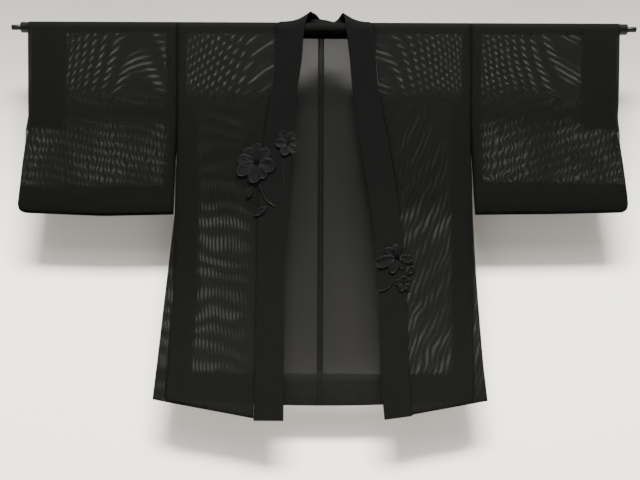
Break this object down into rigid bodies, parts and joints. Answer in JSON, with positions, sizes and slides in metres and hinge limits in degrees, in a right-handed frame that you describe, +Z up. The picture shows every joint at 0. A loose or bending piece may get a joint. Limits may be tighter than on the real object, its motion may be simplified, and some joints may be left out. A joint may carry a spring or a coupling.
{
  "type": "sheer black summer haori jacket on a display rod",
  "caption": "Sheer black open-fronted kimono jacket with wide sleeves, folded collar band and sewn-on flowers, hung flat on a straight black display rod.",
  "frame": {"origin": "on the rod's axis, halfway along the stretch that carries the cloth", "axes": "+X along the rod towards the wearer's left, +Z up, and the fronts face -Y"},
  "size_m": [1.441, 0.0648, 0.9436],
  "materials": {
    "gauze": "sheer black silk gauze, dry hand with a faint sheen",
    "collar_cloth": "several layers of the same black gauze, opaque",
    "applique": "black organza petals edged with glossy cord",
    "rod_enamel": "glossy black enamel"
  },
  "bodies": {
    "root": {"body_right": "gauze", "body_left": "gauze", "sleeve_right": "gauze", "sleeve_left": "gauze", "gusset_right": "gauze", "gusset_left": "gauze", "collar": "collar_cloth", "flower_large_right": "applique", "flower_small_right": "applique", "flower_large_left": "applique", "flower_small_left": "applique", "leaf_upper_right": "applique", "leaf_lower_right": "applique", "leaf_left": "applique", "stem_large_right": "applique", "stem_small_right": "applique", "stem_left": "applique", "rod_tube": "rod_enamel", "rod_pin_right": "rod_enamel", "rod_pin_left": "rod_enamel"}
  },
  "joints": []
}
